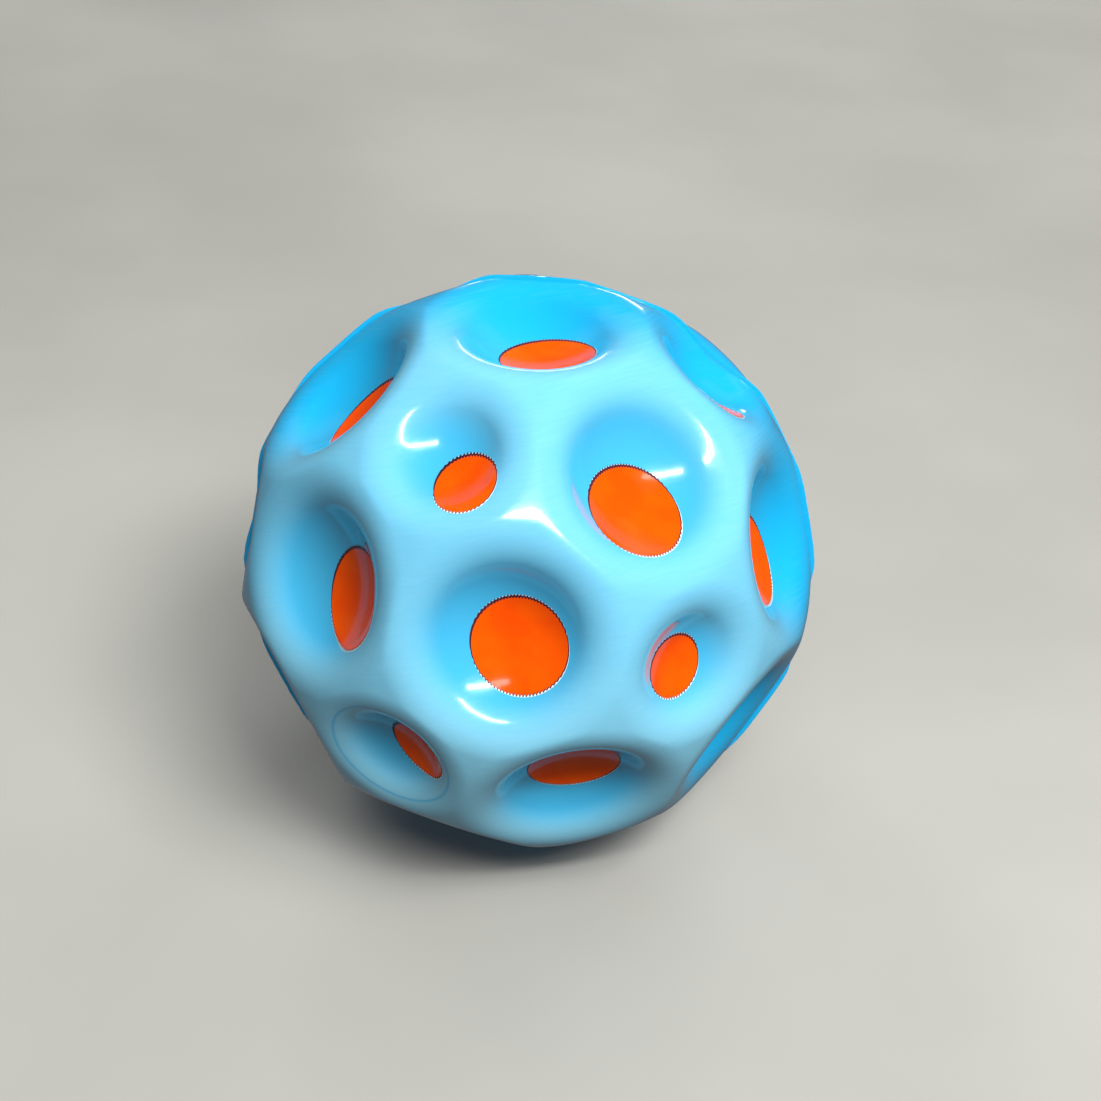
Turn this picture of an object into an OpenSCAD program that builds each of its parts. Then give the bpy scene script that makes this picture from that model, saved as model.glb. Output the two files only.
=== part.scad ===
// Cratered high-bounce ball: a foam core inside two film skins, with a printed dot in every crater.
// The origin is the ball's centre. +Z runs through the middle of the uppermost crater, so the ball
// stands on the rim of the crater opposite. The front skin's pole leans up from -Y.

/* [Ball] */
// Diameter over the lands between the craters
ball_d = 70; // [62:1:90]
// Thickness of the film that the skins are formed from
skin_t = 0.6; // [0.4:0.1:1]

/* [Large craters] */
// Depth of a large crater below the lands
large_depth = 6.5; // [4.5:0.1:7.5]
// Radius of the rounding on a large crater's rim
large_rim_r = 4; // [3:0.1:5]
// Radius of the dot printed in a large crater
large_dot_r = 5; // [3:0.1:6]

/* [Small craters] */
// Depth of a small crater below the lands
small_depth = 5; // [3:0.1:5.5]
// Radius of the rounding on a small crater's rim
small_rim_r = 3; // [2:0.1:4]
// Radius of the dot printed in a small crater
small_dot_r = 3.4; // [2:0.1:4]

/* [Seam] */
// Height of the trimmed lip that stands along the seam
lip_h = 0.4; // [0.2:0.1:1]
// Thickness of one skin's lip
lip_t = 0.2; // [0.15:0.05:0.4]
// Width of the land left between the lip and the large craters beside it
lip_land = 0.2; // [0.15:0.05:0.4]

/* [Print] */
// Thickness of the ink in a dot
ink_t = 0.2; // [0.1:0.05:0.3]
// How far forming draws a large dot along its skin's pole, fading out to nothing at the seam
large_draw = 4.9; // [0:0.1:6]
// How far forming draws a small dot along its skin's pole
small_draw = 3.8; // [0:0.1:5]
// How far the print lies to the right of its place, seen from the front
print_slip_right = 1.7; // [-2:0.1:2]
// How far the front print lies below its place
print_slip_down = 1.4; // [-2:0.1:2]

/* [Hidden] */
$fn = 144;
ball_r = ball_d / 2;
// Angle at which the rim's rounding meets the lands
rim_meet = 8;
// Cuts run on past the ball by this much
overrun = 2 * lip_h;

// Directions of the craters: large ones at a dodecahedron's corners, small ones over its faces
golden = (1 + sqrt(5)) / 2;
signs = [-1, 1];
turns = [0, 1, 2];
function turned(v, k) = [for (i = turns) v[(i + k) % 3]];
cube_corners = [for (a = signs, b = signs, c = signs) [a, b, c]];
side_corners = [for (k = turns, a = signs, b = signs) turned([0, a / golden, b * golden], k)];
face_middles = [for (k = turns, a = signs, b = signs) turned([0, a * golden, b], k)];

// The part's axes among those directions: up, and the pole of the front skin
up = [1, 1, 1];
front = [1, 1, -1];
function unit(v) = v / norm(v);
axis_z = unit(up);
axis_x = unit(cross(up, front));
axis_y = cross(axis_z, axis_x);
function placed(v) = unit([v * axis_x, v * axis_y, v * axis_z]);
front_pole = placed(front);
rear_pole = -front_pole;

// Angles between neighbouring craters, and from the middle of a crater out to its rim
function angle_between(a, b) = atan2(norm(cross(a, b)), a * b);
function arc_angle(length) = length / ball_r * 180 / PI;
large_pitch = angle_between(cube_corners[0], side_corners[0]);
mixed_pitch = angle_between(cube_corners[0], face_middles[0]);
large_angle = 90 - angle_between(front, up) - arc_angle(lip_t + lip_land);
ridge_angle = large_pitch - 2 * large_angle;
small_angle = mixed_pitch - large_angle - ridge_angle;

// A kind of crater: angle out to its rim, depth, rim radius and dot radius
large = [large_angle, large_depth, large_rim_r, large_dot_r];
small = [small_angle, small_depth, small_rim_r, small_dot_r];
function rim_angle(kind) = kind[0];
function floor_z(kind) = ball_r - kind[1];
function rim_r(kind) = kind[2];
function dot_slope(kind) = kind[3] / floor_z(kind);
function at_angle(a) = [sin(a), cos(a)];
function rim_middle(kind) = ball_r * at_angle(rim_angle(kind)) - rim_r(kind) * at_angle(rim_angle(kind) - rim_meet);
function rim_lift(kind) = rim_middle(kind).y - floor_z(kind);
// The bowl reaches down to the floor and runs smoothly into the rim's rounding
function bowl_r(kind) =
    (rim_middle(kind).x ^ 2 + rim_lift(kind) ^ 2 - rim_r(kind) ^ 2) / (2 * (rim_r(kind) + rim_lift(kind)));
function bowl_z(kind) = floor_z(kind) + bowl_r(kind);

// A seat is one crater's direction, its kind and the pole of the skin that it is in
function seats(directions, kind, pole) =
    [for (v = directions) if (placed(v) * pole > 0) [placed(v), kind, pole]];
large_directions = concat(cube_corners, side_corners);
seat_groups = [
    ["front_large_dot", seats(large_directions, large, front_pole)],
    ["front_small_dot", seats(face_middles, small, front_pole)],
    ["rear_large_dot", seats(large_directions, large, rear_pole)],
    ["rear_small_dot", seats(face_middles, small, rear_pole)]
];
all_seats = [for (group = seat_groups, seat = group[1]) seat];
function seats_near(v) = [for (seat = all_seats) if (angle_between(v, seat[0]) < large_pitch) seat];

// A dot's name, and the direction from the ball's centre in which it lies
dot_names = [for (group = seat_groups) for (i = [1 : len(group[1])]) str(group[0], "_", i)];
right = [1, 0, 0];
function print_slip(pole) = print_slip_right * right + print_slip_down * cross(right, pole);
function print_draw(seat) = seat[1] == large ? large_draw * (seat[0] * seat[2]) : small_draw;
function dot_direction(seat) = unit(ball_r * seat[0] + print_draw(seat) * seat[2] + print_slip(seat[2]));

// Turns what stands along +Z to a direction from the ball's centre
module aim(v) {
    rotate([0, atan2(norm([v.x, v.y]), v.z), atan2(v.y, v.x)]) children();
}

// Half section of the space in and over a crater, whose surface is lifted outwards by a distance
module crater_section(kind, lift) {
    bowl = [0, bowl_z(kind)];
    rim = rim_middle(kind);
    edge = rim + rim_r(kind) * unit(rim);
    top = max(ball_r, bowl.y) + overrun;
    intersection() {
        union() {
            translate(bowl) circle(r = bowl_r(kind) - lift);
            difference() {
                polygon([bowl, rim, edge, [edge.x, top], [0, top]]);
                translate(rim) circle(r = rim_r(kind) + lift);
            }
        }
        square([edge.x, top]);
    }
}

// The ball with the craters at some seats, its whole surface lifted outwards by a distance
module cratered_ball(seats, lift) {
    difference() {
        sphere(r = ball_r + lift);
        for (seat = seats) aim(seat[0]) rotate_extrude() crater_section(seat[1], lift);
    }
}

// The cone from the ball's centre in which a seat's dot is printed
module dot_cone(seat) {
    height = ball_r + overrun;
    aim(dot_direction(seat)) cylinder(h = height, r1 = 0, r2 = height * dot_slope(seat[1]));
}

// The room that a dot's ink takes, run on outwards
module dot_room(seat) {
    difference() {
        dot_cone(seat);
        cratered_ball(seats_near(dot_direction(seat)), -ink_t);
    }
}

module dot(seat) {
    color("orangered") intersection() {
        dot_room(seat);
        cratered_ball(seats_near(dot_direction(seat)), 0);
    }
}

// The film on a pole's side of the seam, with its lip and with room for the ink
module skin(pole) {
    difference() {
        intersection() {
            union() {
                cratered_ball(all_seats, 0);
                intersection() {
                    cratered_ball(all_seats, lip_h);
                    aim(pole) cylinder(h = 2 * lip_t, r = ball_d, center = true);
                }
            }
            aim(pole) cylinder(h = ball_d, r = ball_d);
        }
        cratered_ball(all_seats, -skin_t);
        for (seat = all_seats) if (seat[2] == pole) dot_room(seat);
    }
}

module front_skin() {
    color("lightskyblue") skin(front_pole);
}

module rear_skin() {
    color("deepskyblue") skin(rear_pole);
}

module foam_core() {
    color("ivory") cratered_ball(all_seats, -skin_t);
}

foam_core();
front_skin();
rear_skin();
for (i = [0 : len(all_seats) - 1]) {
    dot(all_seats[i]);
}
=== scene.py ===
"""Looks for the cratered bouncy ball: two formed film skins, printed dots, a foam core and a plain studio."""

import math
from collections import namedtuple

import bpy
import numpy as np
from mathutils import Matrix, Vector


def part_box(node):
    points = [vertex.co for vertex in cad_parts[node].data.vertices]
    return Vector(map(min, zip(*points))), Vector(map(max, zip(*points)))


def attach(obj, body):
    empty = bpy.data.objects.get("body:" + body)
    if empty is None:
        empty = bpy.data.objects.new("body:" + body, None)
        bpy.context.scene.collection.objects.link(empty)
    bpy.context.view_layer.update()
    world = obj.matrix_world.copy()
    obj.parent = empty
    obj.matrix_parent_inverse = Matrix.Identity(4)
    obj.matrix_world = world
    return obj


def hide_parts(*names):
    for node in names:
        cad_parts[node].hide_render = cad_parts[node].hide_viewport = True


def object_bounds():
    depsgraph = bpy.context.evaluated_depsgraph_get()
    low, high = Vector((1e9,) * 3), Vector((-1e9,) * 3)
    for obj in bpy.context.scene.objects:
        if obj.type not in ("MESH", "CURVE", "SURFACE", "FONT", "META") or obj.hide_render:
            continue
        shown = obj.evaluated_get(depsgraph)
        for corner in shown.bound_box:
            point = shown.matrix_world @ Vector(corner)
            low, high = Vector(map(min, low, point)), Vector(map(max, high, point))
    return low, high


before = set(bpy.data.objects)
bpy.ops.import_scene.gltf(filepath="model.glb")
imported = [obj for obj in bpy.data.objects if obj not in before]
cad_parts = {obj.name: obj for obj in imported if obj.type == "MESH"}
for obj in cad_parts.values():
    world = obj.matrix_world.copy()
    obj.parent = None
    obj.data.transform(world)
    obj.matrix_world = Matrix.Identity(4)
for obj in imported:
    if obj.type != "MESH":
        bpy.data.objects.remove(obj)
cad_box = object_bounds()

# Sizes are in millimetres and angles in degrees, unless a comment says otherwise
MM = 0.001

# Ball, as in the CAD model, whose box ends on the lands in front and behind
BALL_R = round(cad_box[1].y / MM, 1)
SKIN_T = 0.6
LIP_H = 0.4
LIP_T = 0.2

# Print, as in the CAD model: radius of the dots, how far forming draws them, and the slip right and down
LARGE_DOT_R, SMALL_DOT_R = 5.0, 3.4
LARGE_DRAW, SMALL_DRAW = 4.9, 3.8
PRINT_SLIP = (1.7, 1.4)

# Craters: depth, radius of the rim's rounding, and angle from the axis to the top of the rim
LARGE_DEPTH, LARGE_RIM_R, LARGE_RIM_ANGLE = 6.7, 5.4, 23.0
SMALL_DEPTH, SMALL_RIM_R, SMALL_RIM_ANGLE = 4.2, 5.2, 16.8
# Rims run into each other, and this power rounds the crest between them
CREST_POWER = 1.6

# Meshes: rings of a skin outside and inside, of the core and of a dot, and points added from ring to ring
SKIN_RINGS = 160
LINING_RINGS = 40
CORE_RINGS = 64
DOT_RINGS = 18
RING_STEP = 6

# Lip: its rounding, the gap to the parting plane, and how unevenly it is trimmed. Each wave of the trim has
# a count round the ball and a share
LIP_ROUND = 0.07
LIP_GAP = 0.02
LIP_WAVER = 0.12
LIP_WAVES = ((5, 0.35), (11, 0.3), (23, 0.25), (61, 0.2), (143, 0.15))
FRONT_LIP_SEED, REAR_LIP_SEED = 1, 2
# Edges of a skin that turn by more than this aren't shaded smooth
SHARP_ANGLE = 40.0

# Dot edges: the ink's height, the teeth of the print's screen, and points round an edge
INK_LIFT = 0.03
TOOTH_PITCH = 0.4
TOOTH_H = 0.3
EDGE_POINTS = 480
# The two inks are out of step: they overlap most on one side of a dot, and leave film bare on the other
OVERLAP_SIDE = 110.0
OVERLAP_W, OVERLAP_MIN_W = 0.32, 0.12
GAP_W, GAP_MIN_W = 0.12, 0.005

# Film: print lines that rise to the right, with broader bands among them. Scales are along and across a line
LINE_RISE = 14.0
LINE_SCALES = (0.3, 3.6)
BAND_SCALES = (0.05, 0.5)
BAND_LAYER = 3.0
LINE_SHARE, BAND_SHARE = 0.7, 0.3
STREAK_CONTRAST = (0.35, 0.65)
STREAK_STRENGTH = 0.09
# The film is paler on the lands and deeper in the craters, partly its own tone and partly painted sheen on
# the lands and painted shade in the craters: depths below the lands over which that comes in
LAND_DEPTHS = (4.0, 0.2)
# It is pale away from the seam: cosines of the angle from the pole over which that comes in
SEAM_FACING = (0.1, 0.6)
# It is paler low down and less pale high up, a painted sheen: heights from the ball's centre over which that
# comes in, and paleness at both ends
PAINTED_LOW_SHEEN_HEIGHTS = (10.0, -30.0)
PAINTED_LOW_SHEEN_PALENESS = (0.6, 1.1)
FILM_ROUGHNESS = (0.17, 0.21)
FILM_IOR = 1.5
FILM_COAT, FILM_COAT_ROUGHNESS = 0.6, 0.06

# Witness line that a mould insert leaves round a small crater: angle from its axis, half width, strength
WITNESS_ANGLE = 12.5
WITNESS_W = 0.5
WITNESS_STRENGTH = 0.55
# That crater is the lowest of those within this cosine of the pole
WITNESS_FACING = 0.5

# Ink: the size of its clouds, and how they set its colour and roughness
CLOUD_SCALE, CLOUD_DETAIL = 260.0, 3.0
CLOUD_CONTRAST = (0.35, 0.65)
CLOUD_GLOSS_CONTRAST = (0.3, 0.7)
INK_ROUGHNESS = (0.10, 0.16)
INK_IOR = 1.25

# Fine grain of film and ink, foam cells, and clouds in the floor's paper
GRAIN_SCALE, GRAIN_H = 900.0, 0.012
CELL_SCALE, CELL_H = 1800.0, 0.1
CELL_CONTRAST = (0.1, 0.6)
FOAM_ROUGHNESS = 0.85
PAPER_SCALE, PAPER_DETAIL = 9.0, 4.0
PAPER_CONTRAST = (0.3, 0.7)
PAPER_ROUGHNESS = 0.7

# Colours: pale, middle and deep film, the pale one partly painted sheen, and two shades of everything else
FRONT_COLOURS = ((0.245, 0.605, 0.775, 1), (0.05, 0.44, 0.73, 1), (0.004, 0.40, 0.74, 1))
REAR_COLOURS = ((0.08, 0.52, 0.80, 1), (0.02, 0.44, 0.78, 1), (0.003, 0.38, 0.74, 1))
ORANGE = ((0.92, 0.075, 0.0005, 1), (0.95, 0.095, 0.0005, 1))
OVERLAPPED = ((0.05, 0.012, 0.02, 1), (0.09, 0.02, 0.03, 1))
BARE = ((0.55, 0.75, 0.82, 1), (0.65, 0.80, 0.86, 1))
FOAM_COLOURS = ((0.70, 0.66, 0.52, 1), (0.86, 0.83, 0.72, 1))
PAPER_COLOURS = ((0.36, 0.355, 0.325, 1), (0.42, 0.415, 0.38, 1))

# Camera: where the photograph was taken from, and where it holds the ball's centre
VIEW_AZIMUTH, VIEW_ELEVATION, VIEW_ROLL = 3.6, 35.2, 2.2
VIEW_DISTANCE = 218.0
VIEW_FOCAL_PX = 1762.0
VIEW_CENTRE_PX = (526.0, 561.0)
IMAGE_PX = 1101.0
SENSOR_W = 36.0

# Studio, in metres: half the floor's width, and the nearest that the camera sees
FLOOR_HALF = 3.0
CLIP_START = 0.01
SKY_COLOUR, SKY_STRENGTH = (0.95, 0.97, 1.0, 1), 0.14

Kind = namedtuple("Kind", "rim_angle bowl_r bowl_z edge_angle rim_ring rim_r dot_slope")
Seat = namedtuple("Seat", "direction kind pole")


def unit(v):
    """Vectors along the last axis, made one long."""
    v = np.asarray(v, float)
    return v / np.linalg.norm(v, axis=-1, keepdims=True)


# Shape of the ball


def crater_kind(depth, rim_r, dot_r, rim_angle):
    """A kind of crater: a round bowl that runs smoothly into a rounded rim."""
    rim_angle = math.radians(rim_angle)
    floor_z = BALL_R - depth
    rim_ring = BALL_R - rim_r
    rim = rim_ring * np.array([math.sin(rim_angle), math.cos(rim_angle)])
    lift = rim[1] - floor_z
    bowl_r = (rim[0] ** 2 + lift**2 - rim_r**2) / (2 * (rim_r + lift))
    bowl = np.array([0, floor_z + bowl_r])
    edge = bowl + (rim - bowl) * bowl_r / (bowl_r + rim_r)
    return Kind(rim_angle, bowl_r, bowl[1], math.atan2(*edge), rim_ring, rim_r, dot_r / floor_z)


LARGE = crater_kind(LARGE_DEPTH, LARGE_RIM_R, LARGE_DOT_R, LARGE_RIM_ANGLE)
SMALL = crater_kind(SMALL_DEPTH, SMALL_RIM_R, SMALL_DOT_R, SMALL_RIM_ANGLE)


def crater_layout():
    """Directions of the large and small craters and the front pole.

    Large craters are at a dodecahedron's corners, and small ones over the middles of its faces.
    """
    golden = (1 + math.sqrt(5)) / 2
    signs = (-1, 1)
    large = [(a, b, c) for a in signs for b in signs for c in signs]
    small = []
    for turn in range(3):
        for a in signs:
            for b in signs:
                large.append(np.roll((0, a / golden, b * golden), turn))
                small.append(np.roll((0, a * golden, b), turn))
    up, front = np.array([1, 1, 1]), np.array([1, 1, -1])
    axis_x = unit(np.cross(up, front))
    axes = np.array([axis_x, np.cross(unit(up), axis_x), unit(up)])
    return unit(large) @ axes.T, unit(small) @ axes.T, unit(axes @ front)


LARGE_DIRECTIONS, SMALL_DIRECTIONS, FRONT_POLE = crater_layout()
RIGHT = np.array([1.0, 0.0, 0.0])


def profile(angle, kind):
    """Distance from the ball's centre to the film, at an angle from the axis of a crater."""
    off = angle - kind.rim_angle
    bowl_reach = kind.bowl_r**2 - (kind.bowl_z * np.sin(angle)) ** 2
    rim_reach = kind.rim_r**2 - (kind.rim_ring * np.sin(off)) ** 2
    bowl = kind.bowl_z * np.cos(angle) - np.sqrt(np.maximum(bowl_reach, 0))
    rim = kind.rim_ring * np.cos(off) + np.sqrt(np.maximum(rim_reach, 0))
    return np.where(angle < kind.edge_angle, bowl, np.where(angle < kind.rim_angle, rim, BALL_R))


def surface(directions):
    """Distance from the ball's centre to the film in each direction."""
    depth = np.zeros(len(directions))
    for axes, kind in ((LARGE_DIRECTIONS, LARGE), (SMALL_DIRECTIONS, SMALL)):
        for axis in axes:
            angle = np.arccos(np.clip(directions @ axis, -1, 1))
            depth += np.maximum(BALL_R - profile(angle, kind), 0) ** CREST_POWER
    return BALL_R - depth ** (1 / CREST_POWER)


# Mesh building


def stitch(first, second):
    """Triangles between two closed rings of vertex numbers, which may differ in count.

    A ring of one point is a pole, which has no edges of its own.
    """
    a, b = len(first), len(second)
    first_edges = a if a > 1 else 0
    second_edges = b if b > 1 else 0
    triangles = []
    i = j = 0
    while i < first_edges or j < second_edges:
        if j < second_edges and (i >= first_edges or (j + 1) * a <= (i + 1) * b):
            triangles.append((first[i % a], second[j % b], second[(j + 1) % b]))
            j += 1
        else:
            triangles.append((first[i % a], second[j % b], first[(i + 1) % a]))
            i += 1
    return triangles


def ring_mesh(name, rings):
    """A mesh object through rings of points, each ring joined to the next."""
    starts = np.cumsum([0] + [len(ring) for ring in rings])
    numbers = [list(range(a, b)) for a, b in zip(starts[:-1], starts[1:])]
    faces = [face for pair in zip(numbers[:-1], numbers[1:]) for face in stitch(*pair)]
    mesh = bpy.data.meshes.new(name)
    mesh.from_pydata((np.concatenate(rings) * MM).tolist(), [], faces)
    mesh.shade_smooth()
    obj = bpy.data.objects.new(name, mesh)
    bpy.context.collection.objects.link(obj)
    return obj


def pole_axes(pole):
    """Right, up and outward axes of the skin with this pole."""
    return np.array([RIGHT, np.cross(pole, RIGHT), pole])


def circle(count):
    """Angles round a ring, in radians."""
    return np.arange(count) * 2 * math.pi / count


def cap_directions(polar, count, axes):
    """A ring of directions at a polar angle from the pole, in radians."""
    turn = circle(count)
    outward = np.full(count, np.cos(polar))
    flat = np.stack([np.sin(polar) * np.cos(turn), np.sin(polar) * np.sin(turn), outward], axis=1)
    return flat @ axes


def cap_rings(rings, last_polar, axes, inset):
    """Rings of points on the film from a pole out to a polar angle, set in from its surface."""
    made = []
    for i in range(rings + 1):
        directions = cap_directions(last_polar * i / rings, max(1, RING_STEP * i), axes)
        made.append(directions * (surface(directions) - inset)[:, None])
    return made


def waver(turn, seed):
    """Smooth uneven height round the lip, between about -1 and 1."""
    draw = np.random.default_rng(seed)
    total = np.zeros_like(turn)
    for count, share in LIP_WAVES:
        total += share * np.sin(count * turn + draw.uniform(0, 2 * math.pi))
    return total


def lip_rings(axes, seed):
    """Rings over a skin's trimmed lip and down its face on the parting plane."""
    count = RING_STEP * SKIN_RINGS
    outward = cap_directions(math.pi / 2, count, axes)
    foot = surface(outward)
    top = foot + LIP_H + LIP_WAVER * np.minimum(waver(circle(count), seed), 0)
    sections = [
        (LIP_T, foot + LIP_ROUND),
        (LIP_T, top - LIP_ROUND),
        (LIP_T - LIP_ROUND, top),
        (LIP_GAP + LIP_ROUND / 2, top),
        (LIP_GAP, top - LIP_ROUND / 2),
        (LIP_GAP, foot - SKIN_T),
    ]
    return [outward * radius[:, None] + axes[2] * height for height, radius in sections]


def skin(name, pole, seed):
    """A formed film skin: its outside, its lip and its lining."""
    axes = pole_axes(pole)
    seam_polar = math.pi / 2 - LIP_T / BALL_R
    outside = cap_rings(SKIN_RINGS, seam_polar, axes, 0)
    lining = cap_rings(LINING_RINGS, seam_polar, axes, SKIN_T)[::-1]
    obj = ring_mesh(name, outside + lip_rings(axes, seed) + lining)
    obj.data.set_sharp_from_angle(angle=math.radians(SHARP_ANGLE))
    return obj


def core(name):
    """The foam core, from the front pole to the rear pole."""
    inset = SKIN_T + LIP_GAP
    front = cap_rings(CORE_RINGS, math.pi / 2, pole_axes(FRONT_POLE), inset)
    rear_axes = pole_axes(FRONT_POLE) * np.array([[1], [1], [-1]])
    rear = cap_rings(CORE_RINGS, math.pi / 2, rear_axes, inset)[::-1]
    return ring_mesh(name, front + rear[1:])


def dot_direction(seat):
    """Direction in which a seat's dot lies, drawn towards the pole and slipped as the print is."""
    slip = PRINT_SLIP[0] * RIGHT + PRINT_SLIP[1] * np.cross(RIGHT, seat.pole)
    draw = LARGE_DRAW * (seat.direction @ seat.pole) if seat.kind is LARGE else SMALL_DRAW
    return unit(BALL_R * seat.direction + draw * seat.pole + slip)


def dot(name, seat):
    """A printed dot with toothed edges, a dark overlap on one side and a pale gap on the other.

    Its material slots are the orange, the overlap and the gap.
    """
    middle = dot_direction(seat)
    across = unit(np.cross(np.cross(seat.pole, RIGHT), middle))
    upward = np.cross(middle, across)
    radius = BALL_R * seat.kind.dot_slope
    turn = circle(EDGE_POINTS)
    facing = np.cos(turn - math.radians(OVERLAP_SIDE))
    overlap = radius + OVERLAP_MIN_W + OVERLAP_W * np.maximum(facing, 0)
    gap = overlap + GAP_MIN_W + GAP_W * np.maximum(-facing, 0)
    wave = np.abs((radius * np.cos(turn) / TOOTH_PITCH) % 1 - 0.5) * 2 - 0.5
    teeth = TOOTH_H * wave * np.abs(np.sin(turn))

    def ring(reach, turn, lift, teeth=0):
        x, y = reach * np.cos(turn), reach * np.sin(turn) + teeth
        directions = unit(middle * BALL_R + x[:, None] * across + y[:, None] * upward)
        return directions * (surface(directions) + lift)[:, None]

    rings = [ring(0, circle(1), INK_LIFT)]
    rings += [ring(radius * i / DOT_RINGS, circle(RING_STEP * i), INK_LIFT) for i in range(1, DOT_RINGS)]
    rings.append(ring(radius, turn, INK_LIFT, teeth))
    rings.append(ring(overlap, turn, INK_LIFT, teeth))
    rings.append(ring(gap, turn, INK_LIFT / 2))
    obj = ring_mesh(name, rings)
    strip = 2 * EDGE_POINTS
    index = np.zeros(len(obj.data.polygons), np.int32)
    index[-2 * strip : -strip] = 1
    index[-strip:] = 2
    obj.data.polygons.foreach_set("material_index", index)
    return obj


# Materials


class Nodes:
    """A material's node tree, with short ways to add and link its nodes."""

    def __init__(self, name):
        self.material = bpy.data.materials.new(name)
        self.material.use_nodes = True
        self.tree = self.material.node_tree
        self.shader = self.tree.nodes["Principled BSDF"]

    def add(self, kind, **settings):
        """Adds a node with some settings."""
        node = self.tree.nodes.new(kind)
        for key, value in settings.items():
            setattr(node, key, value)
        return node

    def put(self, socket, value):
        """Sets a socket to a value, or links an output to it."""
        if isinstance(value, bpy.types.NodeSocket):
            self.tree.links.new(value, socket)
        else:
            socket.default_value = value

    def shade(self, **inputs):
        """Sets or links the shader's inputs, named with _ for a space."""
        for key, value in inputs.items():
            self.put(self.shader.inputs[key.replace("_", " ")], value)

    def math(self, operation, *values):
        """The result of a sum."""
        node = self.add("ShaderNodeMath", operation=operation)
        for socket, value in zip(node.inputs, values):
            self.put(socket, value)
        return node.outputs[0]

    def place(self):
        """Where a point is in the ball's frame, in metres."""
        return self.add("ShaderNodeTexCoord").outputs["Object"]

    def along(self, axis):
        """How far a point lies along an axis."""
        node = self.add("ShaderNodeVectorMath", operation="DOT_PRODUCT")
        self.put(node.inputs[0], self.place())
        self.put(node.inputs[1], tuple(np.asarray(axis) / MM))
        return node.outputs["Value"]

    def distance(self):
        """How far a point is from the ball's centre."""
        node = self.add("ShaderNodeVectorMath", operation="LENGTH")
        self.put(node.inputs[0], self.place())
        return self.math("MULTIPLY", node.outputs["Value"], 1 / MM)

    def noise(self, vector, scale=1.0, detail=2.0):
        """Soft noise between 0 and 1."""
        node = self.add("ShaderNodeTexNoise")
        self.put(node.inputs["Vector"], vector)
        self.put(node.inputs["Scale"], scale)
        self.put(node.inputs["Detail"], detail)
        return node.outputs["Fac"]

    def stretched_noise(self, along, across, scales, layer):
        """Noise with a scale of its own in each of two directions."""
        node = self.add("ShaderNodeCombineXYZ")
        values = self.math("MULTIPLY", along, scales[0]), self.math("MULTIPLY", across, scales[1]), layer
        for socket, value in zip(node.inputs, values):
            self.put(socket, value)
        return self.noise(node.outputs[0])

    def ramp(self, value, limits, results=(0.0, 1.0)):
        """A smooth step of a value between two limits."""
        node = self.add("ShaderNodeMapRange", interpolation_type="SMOOTHSTEP")
        for socket, setting in zip(node.inputs, (value, *limits, *results)):
            self.put(socket, setting)
        return node.outputs["Result"]

    def mix(self, share, first, second):
        """A colour between two others."""
        node = self.add("ShaderNodeMix", data_type="RGBA")
        self.put(node.inputs[0], share)
        for socket, value in zip([s for s in node.inputs if s.type == "RGBA"], (first, second)):
            self.put(socket, value)
        return next(s for s in node.outputs if s.type == "RGBA")

    def bump(self, height, size):
        """Raises the surface by a height from 0 to 1 times a size."""
        node = self.add("ShaderNodeBump")
        self.put(node.inputs["Strength"], 1.0)
        self.put(node.inputs["Distance"], size * MM)
        self.put(node.inputs["Height"], height)
        self.shade(Normal=node.outputs["Normal"])


def film(name, pole, pale, mid, deep):
    """Glossy printed film: pale on the lands and stronger in craters, partly its own tone and partly painted
    sheen and painted shade, paler low down from a painted sheen, stronger at the seam, with fine print lines.

    A mould insert has left a fine witness line round the lowest small crater near the pole.
    """
    n = Nodes(name)
    right, up, out = pole_axes(pole)
    rise = math.radians(LINE_RISE)
    along = n.along(right * math.cos(rise) + up * math.sin(rise))
    across = n.along(up * math.cos(rise) - right * math.sin(rise))
    lines = n.math("MULTIPLY", n.stretched_noise(along, across, LINE_SCALES, 0.0), LINE_SHARE)
    bands = n.math("MULTIPLY", n.stretched_noise(along, across, BAND_SCALES, BAND_LAYER), BAND_SHARE)
    streaks = n.ramp(n.math("ADD", lines, bands), STREAK_CONTRAST)

    distance = n.distance()
    # Paler on the lands and deeper in the craters: partly the film's own tone, partly painted sheen on the
    # lands and painted shade in the craters
    land = n.ramp(distance, [BALL_R - depth for depth in LAND_DEPTHS])
    from_seam = n.ramp(n.math("DIVIDE", n.along(out), distance), SEAM_FACING)
    # Painted sheen: the film is paler low down and less pale high up
    painted_low_sheen = n.ramp(n.along(up), PAINTED_LOW_SHEEN_HEIGHTS, PAINTED_LOW_SHEEN_PALENESS)
    pale_tone_and_sheen = n.math("MULTIPLY", from_seam, n.math("MULTIPLY", land, painted_low_sheen))
    streaked = n.math("MULTIPLY", n.math("SUBTRACT", streaks, 0.5), n.math("MULTIPLY", land, STREAK_STRENGTH))
    pale_tone_and_sheen = n.math("MAXIMUM", n.math("ADD", pale_tone_and_sheen, streaked), 0.0)
    colour = n.mix(pale_tone_and_sheen, n.mix(from_seam, deep, mid), pale)

    insert = min((v for v in SMALL_DIRECTIONS if v @ pole > WITNESS_FACING), key=lambda v: v[2])
    from_insert = n.math("ARCCOSINE", n.math("DIVIDE", n.along(insert), distance))
    off = n.math("ABSOLUTE", n.math("SUBTRACT", from_insert, math.radians(WITNESS_ANGLE)))
    witness = n.ramp(off, (0.0, math.radians(WITNESS_W)), (WITNESS_STRENGTH, 0.0))

    n.shade(Base_Color=n.mix(witness, colour, deep), IOR=FILM_IOR)
    n.shade(Roughness=n.ramp(streaks, (0.0, 1.0), FILM_ROUGHNESS))
    n.shade(Coat_Weight=FILM_COAT, Coat_Roughness=FILM_COAT_ROUGHNESS)
    n.bump(n.noise(n.place(), GRAIN_SCALE), GRAIN_H)
    return n.material


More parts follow.
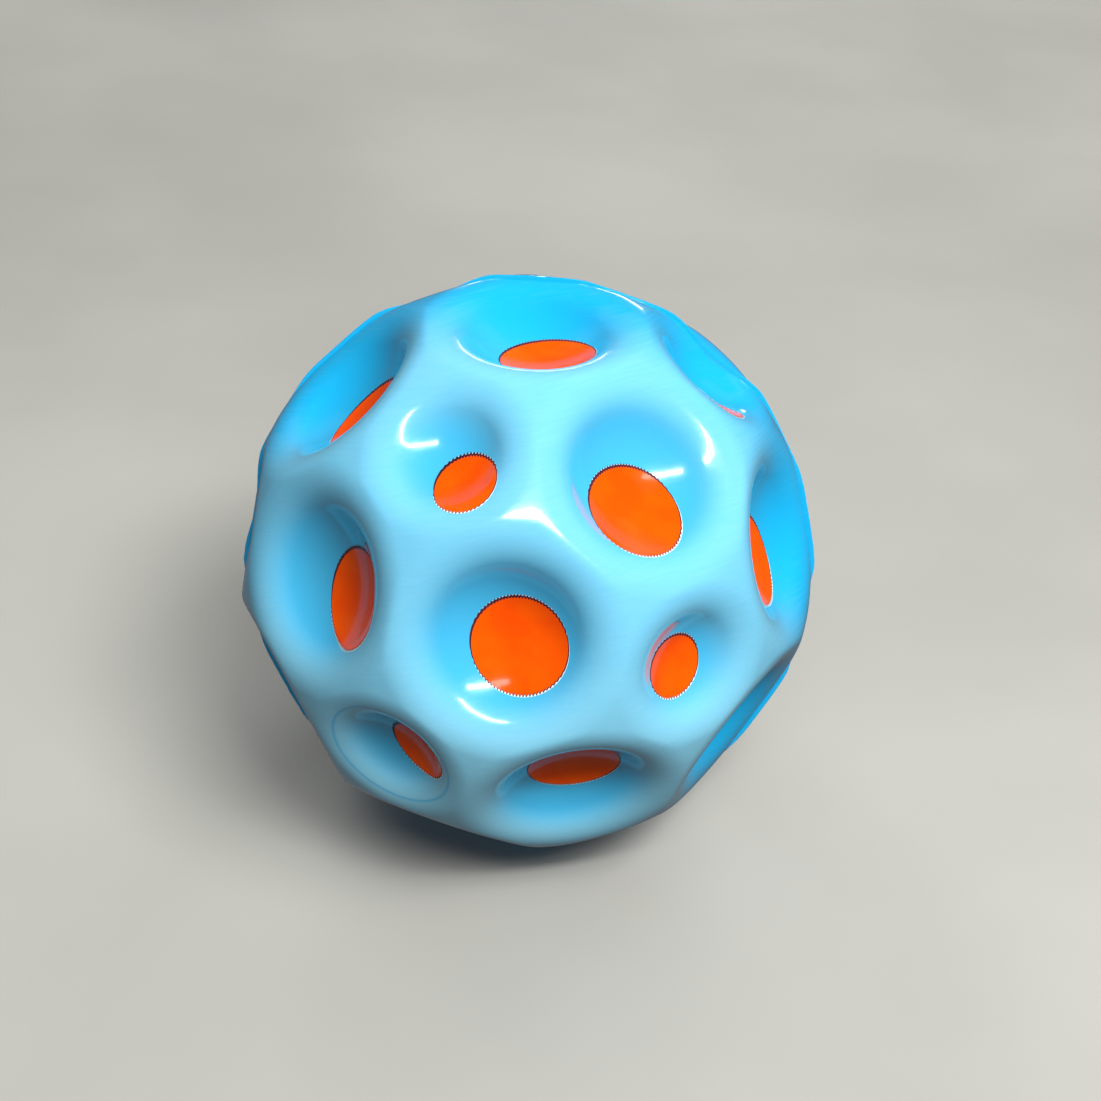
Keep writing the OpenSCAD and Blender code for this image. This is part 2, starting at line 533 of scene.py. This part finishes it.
def ink(name, colours):
    """Glossy ink whose colour wanders a little."""
    n = Nodes(name)
    cloud = n.noise(n.place(), CLOUD_SCALE, CLOUD_DETAIL)
    n.shade(Base_Color=n.mix(n.ramp(cloud, CLOUD_CONTRAST), *colours), IOR=INK_IOR)
    n.shade(Roughness=n.ramp(cloud, CLOUD_GLOSS_CONTRAST, INK_ROUGHNESS))
    n.bump(n.noise(n.place(), GRAIN_SCALE), GRAIN_H)
    return n.material


def foam(name):
    """Closed-cell foam with fine cells."""
    n = Nodes(name)
    cells = n.add("ShaderNodeTexVoronoi")
    n.put(cells.inputs["Vector"], n.place())
    n.put(cells.inputs["Scale"], CELL_SCALE)
    wall = n.ramp(cells.outputs["Distance"], CELL_CONTRAST)
    n.shade(Base_Color=n.mix(wall, *FOAM_COLOURS), Roughness=FOAM_ROUGHNESS)
    n.bump(wall, CELL_H)
    return n.material


def paper(name):
    """The floor's pale paper."""
    n = Nodes(name)
    cloud = n.ramp(n.noise(n.place(), PAPER_SCALE, PAPER_DETAIL), PAPER_CONTRAST)
    n.shade(Base_Color=n.mix(cloud, *PAPER_COLOURS), Roughness=PAPER_ROUGHNESS)
    return n.material


# The ball

front_film = film("front_film", FRONT_POLE, *FRONT_COLOURS)
rear_film = film("rear_film", -FRONT_POLE, *REAR_COLOURS)
dot_inks = [ink("orange_ink", ORANGE), ink("overlapped_ink", OVERLAPPED), ink("bare_film", BARE)]


def dress(obj, node, materials):
    """Gives a piece its materials, and lets it stand for its CAD node."""
    for material in materials:
        obj.data.materials.append(material)
    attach(obj, "root")
    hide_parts(node)
    return obj


dress(skin("front_film_skin", FRONT_POLE, FRONT_LIP_SEED), "front_skin", [front_film])
dress(skin("rear_film_skin", -FRONT_POLE, REAR_LIP_SEED), "rear_skin", [rear_film])
dress(core("foam_ball"), "foam_core", [foam("foam")])


def seat_of(node):
    """The crater that a CAD dot is printed in."""
    low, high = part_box(node)
    middle = unit(np.array(low + high))
    pole = FRONT_POLE if node.startswith("front") else -FRONT_POLE
    kind, axes = (LARGE, LARGE_DIRECTIONS) if "large" in node else (SMALL, SMALL_DIRECTIONS)
    seats = [Seat(v, kind, pole) for v in axes if v @ pole > 0]
    return max(seats, key=lambda seat: dot_direction(seat) @ middle)


for node in sorted(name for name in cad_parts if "dot" in name):
    dress(dot(node.replace("dot", "print"), seat_of(node)), node, dot_inks)


# Studio: floor, lights and camera


def heading(azimuth, elevation):
    """Direction towards an azimuth, from the front to the right, and an elevation."""
    a, e = math.radians(azimuth), math.radians(elevation)
    return np.array([math.sin(a) * math.cos(e), -math.cos(a) * math.cos(e), math.sin(e)])


def floor():
    """The plain pale floor under the ball. It doesn't show in the ball's gloss or throw light on it."""
    z = cad_box[0].z
    corners = [(x * FLOOR_HALF, y * FLOOR_HALF, z) for x, y in ((-1, -1), (1, -1), (1, 1), (-1, 1))]
    mesh = bpy.data.meshes.new("floor")
    mesh.from_pydata(corners, [], [(0, 1, 2, 3)])
    mesh.materials.append(paper("paper"))
    obj = bpy.data.objects.new("floor", mesh)
    bpy.context.collection.objects.link(obj)
    obj.visible_glossy = False
    obj.visible_diffuse = False


def softbox(name, azimuth, elevation, distance, size, power, mirrored):
    """A rectangular light that faces the ball, in metres and watts, and may be mirrored in its gloss."""
    light = bpy.data.lights.new(name, "AREA")
    light.shape = "RECTANGLE"
    light.size, light.size_y = size
    light.energy = power
    obj = bpy.data.objects.new(name, light)
    obj.visible_glossy = mirrored
    bpy.context.collection.objects.link(obj)
    way = Vector(heading(azimuth, elevation))
    obj.location = way * distance
    obj.rotation_mode = "QUATERNION"
    obj.rotation_quaternion = (-way).to_track_quat("-Z", "Y")


def camera():
    """The camera at the photograph's place, with the ball's centre where the photograph has it."""
    back = heading(VIEW_AZIMUTH, VIEW_ELEVATION)
    a, roll = math.radians(VIEW_AZIMUTH), math.radians(VIEW_ROLL)
    level = np.array([math.cos(a), math.sin(a), 0])
    upright = np.cross(back, level)
    right = level * math.cos(roll) + upright * math.sin(roll)
    up = upright * math.cos(roll) - level * math.sin(roll)
    data = bpy.data.cameras.new("camera")
    data.sensor_width = SENSOR_W
    data.lens = SENSOR_W * VIEW_FOCAL_PX / IMAGE_PX
    data.shift_x = (IMAGE_PX / 2 - VIEW_CENTRE_PX[0]) / IMAGE_PX
    data.shift_y = (VIEW_CENTRE_PX[1] - IMAGE_PX / 2) / IMAGE_PX
    data.clip_start = CLIP_START
    obj = bpy.data.objects.new("camera", data)
    bpy.context.collection.objects.link(obj)
    turn = Matrix([right, up, back]).transposed().to_4x4()
    obj.matrix_world = Matrix.Translation(Vector(back) * VIEW_DISTANCE * MM) @ turn
    bpy.context.scene.camera = obj


def sky(colour, strength):
    """Even light from all round."""
    world = bpy.data.worlds.new("studio")
    world.use_nodes = True
    background = world.node_tree.nodes["Background"]
    background.inputs["Color"].default_value = colour
    background.inputs["Strength"].default_value = strength
    bpy.context.scene.world = world


floor()
camera()
sky(SKY_COLOUR, SKY_STRENGTH)
softbox("key", azimuth=42, elevation=54, distance=0.5, size=(0.28, 0.20), power=2.6, mirrored=False)
softbox("strip", azimuth=20, elevation=53, distance=0.5, size=(0.36, 0.045), power=1.4, mirrored=True)
softbox("back", azimuth=150, elevation=40, distance=0.7, size=(0.40, 0.20), power=1.6, mirrored=False)
softbox("rear_left", azimuth=215, elevation=35, distance=0.8, size=(0.40, 0.30), power=2.0, mirrored=False)
softbox("rear_strip", azimuth=180, elevation=4, distance=0.8, size=(0.30, 0.05), power=0.4, mirrored=True)
bpy.context.scene.view_settings.view_transform = "Standard"
